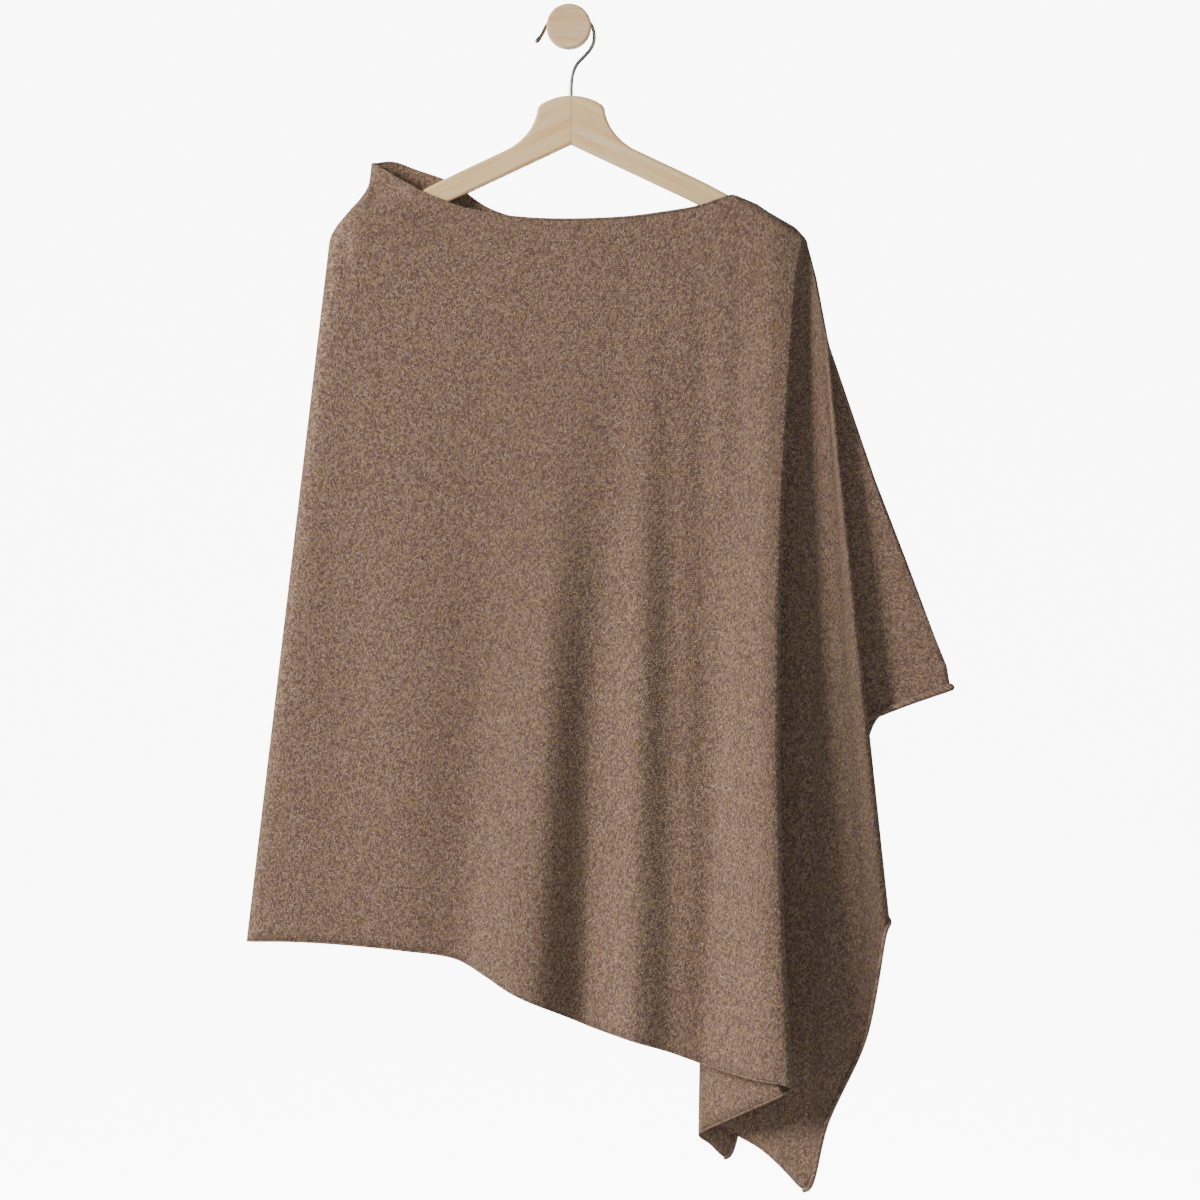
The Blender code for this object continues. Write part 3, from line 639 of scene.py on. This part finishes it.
# Soft creases on top of the large waves. Each has x and z of both ends of its middle line, its half width
# at both ends, and how far it stands outward, where a value below nought is a trough.
Crease = namedtuple("Crease", "topX topZ footX footZ topWidth footWidth depth")
frontCreases = (
    Crease(-8, -420, -34, -1010, 18, 15, 4.5),
    Crease(28, -430, 4, -1020, 20, 15, -5.0),
    Crease(74, -330, 58, -1040, 16, 14, 4.5),
    Crease(100, -300, 96, -1040, 17, 14, -4.5),
    Crease(-128, -380, -150, -960, 40, 38, 3.0),
    Crease(-205, -420, -228, -960, 34, 40, -3.5),
    Crease(-70, -560, -92, -960, 26, 26, -3.0),
    Crease(150, -230, 158, -700, 12, 16, 2.5),
    Crease(128, -225, 128, -620, 11, 14, -2.5),
)
backCreases = (
    Crease(-120, -330, -165, -900, 34, 40, 3.0),
    Crease(-40, -360, -52, -940, 30, 30, -3.5),
    Crease(20, -300, 8, -960, 26, 28, 3.0),
    Crease(70, -320, 62, -980, 22, 22, -2.5),
    Crease(232, -420, 246, -760, 22, 24, 2.0),
)
creaseFade = {"start": -0.15, "full": 0.45, "end": 1.3}   # shares of a crease's length

# The fold of cloth that lies over the hanger's left end: a ledge with a dip above it.
ledge = {
    "leftEnd": (-216, -206),
    "rightEnd": (-192, -104),
    "topX": -104,
    "topZ": -160.4,               # height at topX, sloping down to the left
    "slope": 0.10,
    "step": 6.0,                  # height in which the cloth comes forward
    "fall": 120.0,                # depth below the ledge where that has faded
    "rise": 5.0,                  # how far it comes forward
    "dip": 4.5,                   # left of the arm, much less in front of it
    "dipOverArm": 1.2,
    "armX": (-172, -152),
    "dipHeight": 30.0,
    "dipEdge": (-1.0, 5.0),
    "foldX": (-200, -186),        # where the dip ends beside the side fold
    "lift": 4.0,                  # how far the cloth is raised just below the ledge
    "liftAt": 7.0,
    "liftWidth": 6.0,
}


def addCreases(grid, creases, last, outward):
    # moves the points of the columns before last along Y
    for c in range(last):
        for r in range(grid.shape[1]):
            x, y, z = grid[c, r]
            shift = 0.0
            for crease in creases:
                share = (crease.topZ - z) / (crease.topZ - crease.footZ)
                if creaseFade["start"] < share < creaseFade["end"]:
                    middle = crease.topX + (crease.footX - crease.topX) * share
                    width = crease.topWidth + (crease.footWidth - crease.topWidth) * share
                    fade = smooth(share, creaseFade["start"], creaseFade["full"])
                    shift += crease.depth * fade * math.exp(-((x - middle) / width) ** 2)
            grid[c, r, 1] -= outward * shift
    return grid


def addLedge(grid, last):
    for c in range(last):
        for r in range(grid.shape[1]):
            x, y, z = grid[c, r]
            across = smooth(x, *ledge["leftEnd"]) * (1 - smooth(x, *ledge["rightEnd"]))
            below = ledge["topZ"] + ledge["slope"] * (x - ledge["topX"]) - z
            step = smooth(below, 0.0, ledge["step"]) * (1 - smooth(below, ledge["step"], ledge["fall"]))
            depth = ledge["dip"] + (ledge["dipOverArm"] - ledge["dip"]) * smooth(x, *ledge["armX"])
            depth *= smooth(x, *ledge["foldX"])
            dip = depth * smooth(below, -ledge["dipHeight"], ledge["dipEdge"][0])
            dip *= 1 - smooth(below, *ledge["dipEdge"])
            grid[c, r, 1] -= across * (ledge["rise"] * step - dip)
            lift = ledge["lift"] * math.exp(-((below - ledge["liftAt"]) / ledge["liftWidth"]) ** 2)
            grid[c, r, 2] += across * lift
    return grid


frontGrid = easeAcross(clothSurface(frontLines, "front"), 2)
backGrid = easeAcross(clothSurface(backLines, "back"), 2)
frontGrid = addCreases(frontGrid, frontCreases, columnOf(frontLines, "front", "crestC"), 1)
frontGrid = addLedge(frontGrid, columnOf(frontLines, "front", "crestC"))
backGrid = addCreases(backGrid, backCreases, columnOf(backLines, "back", "backTurn"), -1)
frontCorner = columnOf(frontLines, "front", "corner")
backCorner = columnOf(backLines, "back", "corner")
frontCut = flatCut(frontGrid, frontCorner)
backCut = flatCut(backGrid, backCorner)
sharedEdge = (frontGrid[0] + backGrid[0]) / 2
frontGrid[0] = sharedEdge
backGrid[0] = sharedEdge
wholeGrid = np.concatenate([frontGrid[::-1], backGrid[1:]])
mirrored = backCut[1:].copy()
mirrored[:, :, 0] *= -1
wholeCut = np.concatenate([frontCut[::-1], mirrored])
columns, rows = wholeGrid.shape[:2]
cloth = makeMesh("ponchoCloth", wholeGrid.reshape(-1, 3), gridFaces(columns, rows), knit,
                 wholeCut.reshape(-1, 2))
thicken = cloth.modifiers.new("knitThickness", "SOLIDIFY")
thicken.thickness = clothShape["thickness"] * mm
thicken.offset = 0.0
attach(cloth, "root")
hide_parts("front_panel", "back_panel")
print("cloth made", len(cloth.data.vertices), "points")


# Edges: the knit rolls on itself
capRings = 4
capStart = 0.35                   # place of a round end's first ring, in ring steps


def tubeMesh(name, path, radii, mat, cut, sides=12, axis=None):
    # closed tube with round ends; cut is where its middle line lies on the flat rectangle
    path = np.array(path)
    along = np.gradient(path, axis=0)
    along /= np.linalg.norm(along, axis=1, keepdims=True)
    if axis is None:
        axis = np.tile([0.0, -1.0, 0.0], (len(path), 1))
    first = axis - along * np.sum(axis * along, axis=1, keepdims=True)
    first /= np.linalg.norm(first, axis=1, keepdims=True)
    second = np.cross(along, first)
    rings = [(0, -1, k) for k in range(capRings)] + [(k, 0, 0) for k in range(len(path))]
    rings += [(len(path) - 1, 1, k) for k in range(capRings - 1, -1, -1)]
    verts, uvs = [], []
    for index, sign, step in rings:
        turn = math.pi / 2 * (step + capStart) / capRings if sign else math.pi / 2
        radius = radii[index] * math.sin(turn)
        centre = path[index] + along[index] * sign * radii[index] * math.cos(turn)
        for k in range(sides):
            angle = 2 * math.pi * k / sides
            offset = math.cos(angle) * first[index] + math.sin(angle) * second[index]
            verts.append(centre + offset * radius)
            uvs.append((cut[index][0] + radius * mm * math.cos(angle),
                        cut[index][1] + radius * mm * math.sin(angle)))
    faces = []
    for r in range(len(rings) - 1):
        low, high = r * sides, (r + 1) * sides
        faces += [[low + k, low + (k + 1) % sides, high + (k + 1) % sides, high + k] for k in range(sides)]
    faces.append(list(reversed(range(sides))))
    faces.append([(len(rings) - 1) * sides + k for k in range(sides)])
    return makeMesh(name, verts, faces, mat, uvs)


edgeLook = {
    "hemRadius": 1.15,            # cast-off hem, a little fuller than the cloth
    "neckRadius": 1.35,
    "seamRadius": 1.45,           # linked shoulder seam over both layers
    "sideRadius": (2.5, 2.4, 2.1, 1.5, 3.2, 3.6),
    "sideRadiusAt": (0.0, 0.12, 0.40, 0.62, 0.80, 1.0),
    "sideLift": (0.8, 0.8, 0.8, 0.8, 2.0, 2.6),   # how far the roll lies on the outer face
    "sideShift": 0.55,            # how far it stands out past the edge, in radii
    "seamSpan": (-2.0, 519.0),
    "seamCount": 150,
    "seamLift": 0.3,
    "seamCutStart": 0.375,        # where the seam begins along the flat cut
}
edgePieces = []


def edgeBeyond(grid, outward):
    # unit vectors at the lower edge: out of the face, and away from the cloth in its own plane
    normals = surfaceNormals(grid)[:, -1] * outward
    along = np.gradient(grid[:, -1], axis=0)
    along /= np.linalg.norm(along, axis=1, keepdims=True)
    beyond = np.cross(along, normals)
    beyond *= -np.sign(np.sum(beyond * (grid[:, -4] - grid[:, -1]), axis=1, keepdims=True))
    return normals, beyond


for side, grid, cut, corner, outward in (("front", frontGrid, frontCut, frontCorner, 1),
                                         ("back", backGrid, backCut, backCorner, -1)):
    hem = grid[:corner + 1, -1]
    hemRadii = [edgeLook["hemRadius"]] * len(hem)
    edgePieces.append(tubeMesh(side + "Hem", hem, hemRadii, knit, cut[:corner + 1, -1]))
    normals, beyond = edgeBeyond(grid, outward)
    share = distances(grid[corner:, -1])
    share = share / share[-1]
    radii = np.interp(share, edgeLook["sideRadiusAt"], edgeLook["sideRadius"])
    lift = np.interp(share, edgeLook["sideRadiusAt"], edgeLook["sideLift"])
    path = grid[corner:, -1] + beyond[corner:] * (radii * edgeLook["sideShift"])[:, None]
    path = path + normals[corner:] * lift[:, None]
    edgePieces.append(tubeMesh(side + "SideRoll", path, radii, knit, cut[corner:, -1],
                               axis=normals[corner:]))

frontEnd = columnOf(frontLines, "front", "rimOver")
backEnd = columnOf(backLines, "back", "rimOver") + 1
neckPath = np.concatenate([frontGrid[frontEnd::-1, 0], backGrid[1:backEnd, 0]])
neckCut = np.concatenate([frontCut[frontEnd::-1, 0], backCut[1:backEnd, 0]])
neckRadii = [edgeLook["neckRadius"]] * len(neckPath)
edgePieces.append(tubeMesh("neckEdge", neckPath, neckRadii, knit, neckCut))
seamMarks = np.linspace(*edgeLook["seamSpan"], edgeLook["seamCount"])
seamPath = [seamPoint(max(mark, 0.0)) + np.array([min(mark, 0.0), 0.0, edgeLook["seamLift"]])
            for mark in seamMarks]
seamCut = [(mark * mm + edgeLook["seamCutStart"], 0.0) for mark in seamMarks]
seamRadii = [edgeLook["seamRadius"]] * len(seamPath)
edgePieces.append(tubeMesh("shoulderSeam", seamPath, seamRadii, knit, seamCut))
for piece in edgePieces:
    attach(piece, "root")
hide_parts("front_edge_roll", "front_flap_roll")
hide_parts("back_edge_roll")
print("edges made", len(edgePieces))


# Hook
hookLook = {
    "radius": 1.75,
    "tipRadius": 2.2,
    "tipLength": 4.0,
    "sides": 20,
    "spanPoints": 8,
    "route": ((2.0, -62.7), (2.2, -52), (3.8, -41), (8, -32), (14.5, -25), (20.3, -18.5), (23.6, -11.5),
              (24.4, -4), (22.3, 4.5), (17, 11), (9, 15), (0, 16.2), (-9, 15), (-17.5, 10.5), (-22.5, 4),
              (-25.2, -1.5), (-28.2, -6.5), (-31, -9.8)),   # x and z, from the hanger to the tip
}
hookMarks = np.array([(x, hangerShape["middleY"], z) for x, z in hookLook["route"]])
hookPath = curveThrough(hookMarks, [hookLook["spanPoints"]] * (len(hookMarks) - 1))
toTip = distances(hookPath)[-1] - distances(hookPath)
hookRadii = np.where(toTip < hookLook["tipLength"], hookLook["tipRadius"], hookLook["radius"])
noCut = np.zeros((len(hookPath), 2))
hook = tubeMesh("wireHook", hookPath, hookRadii, steel, noCut, sides=hookLook["sides"])
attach(hook, "root")
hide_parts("hook")

# Hanger and peg: the plain solids with their woods
for node, wood in (("hanger_left", woodLeft), ("hanger_right", woodRight), ("wall_peg", woodPeg)):
    solid = bpy.data.objects[node]
    solid.data.materials.clear()
    solid.data.materials.append(wood)

# The dark line of glue between the hanger's halves
glueLook = {
    "middleX": 2.0,
    "halfWidth": 0.15,
    "halfDepth": 5.2,
    "lowZ": -110.0,
    "topZ": -63.6,
    "colour": "#8a6a48",
    "roughness": 0.7,
}
glueMat = makePlain("dried wood glue", glueLook["colour"], glueLook["roughness"])
glueBox = [(glueLook["middleX"] + a * glueLook["halfWidth"],
            hangerShape["middleY"] + b * glueLook["halfDepth"], z)
           for z in (glueLook["lowZ"], glueLook["topZ"])
           for a, b in ((-1, -1), (1, -1), (1, 1), (-1, 1))]
glueFaces = [[3, 2, 1, 0], [4, 5, 6, 7], [0, 1, 5, 4], [1, 2, 6, 5], [2, 3, 7, 6], [3, 0, 4, 7]]
glue = makeMesh("hangerJointGlue", glueBox, glueFaces, glueMat)
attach(glue, "root")
print("hook, hanger and peg done")


# Stage, lights and camera
stageLook = {
    "floorZ": -2.6,
    "wallY": 6.2,                 # far enough back for the poncho's back to be seen too
    "curve": 0.4,
    "curveSteps": 12,
    "halfWidth": 5.0,
    "nearY": -6.0,
    "highZ": 4.0,
    "paper": "#d9d9d7",
    "paperRoughness": 0.9,
    "glow": 9.0,
    "glowHalfWidth": (1.75, 2.3),
    "glowTop": (1.25, 1.7),
    "glowDepth": 0.1,             # the glow is full this far in front of the wall
}


def makeSweepWhite():
    # white paper that glows in the middle of its wall, as if lit evenly from behind
    mat, tree, shader = newMaterial("white studio paper")
    look = stageLook
    place = addNode(tree, "SeparateXYZ", None, Vector=addNode(tree, "TexCoord").outputs["Object"])
    aside = maths(tree, "ABSOLUTE", place.outputs["X"])
    middle = mapped(tree, aside, look["glowHalfWidth"], (look["glow"], 0.0), "SMOOTHSTEP")
    under = mapped(tree, place.outputs["Z"], look["glowTop"], (1.0, 0.0), "SMOOTHSTEP")
    wallSpan = (look["wallY"] - look["curve"], look["wallY"] - look["glowDepth"])
    standing = mapped(tree, place.outputs["Y"], wallSpan)
    glow = maths(tree, "MULTIPLY", maths(tree, "MULTIPLY", middle, under), standing)
    tree.links.new(glow, shader.inputs["Emission Strength"])
    shader.inputs["Emission Color"].default_value = toLinear("#ffffff")
    shader.inputs["Base Color"].default_value = toLinear(look["paper"])
    shader.inputs["Roughness"].default_value = look["paperRoughness"]
    return mat


# y and z of the paper from its near end, over the bend and up the wall
sweepLine = [(stageLook["nearY"], stageLook["floorZ"]),
             (stageLook["wallY"] - stageLook["curve"], stageLook["floorZ"])]
for step in range(1, stageLook["curveSteps"] + 1):
    angle = math.pi / 2 * step / stageLook["curveSteps"]
    sweepLine.append((stageLook["wallY"] - stageLook["curve"] * (1 - math.sin(angle)),
                      stageLook["floorZ"] + stageLook["curve"] * (1 - math.cos(angle))))
sweepLine.append((stageLook["wallY"], stageLook["highZ"]))
sweepVerts = [(x / mm, y / mm, z / mm) for y, z in sweepLine
              for x in (-stageLook["halfWidth"], stageLook["halfWidth"])]
sweepFaces = [[2 * k, 2 * k + 1, 2 * k + 3, 2 * k + 2] for k in range(len(sweepLine) - 1)]
sweep = makeMesh("studioSweep", sweepVerts, sweepFaces, makeSweepWhite())


AreaLight = namedtuple("AreaLight", "name place size power colour")
lightAim = (0.0, 0.0, -0.6)
areaLights = (
    AreaLight("keyLight", (-3.3, -1.9, 0.7), (0.8, 1.5), 232, "#fff4ea"),    # rakes the folds from the left
    AreaLight("frontFill", (1.3, -4.3, 0.4), (1.4, 1.4), 38, "#ffffff"),
    AreaLight("backLight", (2.4, 2.8, 1.0), (0.8, 0.8), 30, "#ffffff"),
)


def addLight(name, place, size, power, colour):
    light = bpy.data.lights.new(name, "AREA")
    light.shape = "RECTANGLE"
    light.size, light.size_y = size
    light.energy = power
    light.color = toLinear(colour)[:3]
    lamp = bpy.data.objects.new(name, light)
    lamp.location = place
    lamp.rotation_euler = (Vector(lightAim) - Vector(place)).to_track_quat("-Z", "Y").to_euler()
    bpy.context.scene.collection.objects.link(lamp)


for spec in areaLights:
    addLight(*spec)

worldLook = {"colour": "#ffffff", "strength": 0.06}
world = bpy.data.worlds.new("softWhiteRoom")
bpy.context.scene.world = world
world.use_nodes = True
room = world.node_tree.nodes["Background"]
room.inputs["Color"].default_value = toLinear(worldLook["colour"])
room.inputs["Strength"].default_value = worldLook["strength"]

cameraLook = {"place": (0.030, -3.545, -0.552), "lens": 108.25, "sensorWidth": 36.0, "clipEnd": 30.0}
cameraData = bpy.data.cameras.new("photoCamera")
cameraData.lens = cameraLook["lens"]
cameraData.sensor_width = cameraLook["sensorWidth"]
cameraData.clip_end = cameraLook["clipEnd"]
camera = bpy.data.objects.new("photoCamera", cameraData)
camera.location = cameraLook["place"]
camera.rotation_euler = (math.pi / 2, 0.0, 0.0)
bpy.context.scene.collection.objects.link(camera)
bpy.context.scene.camera = camera
print("stage done")
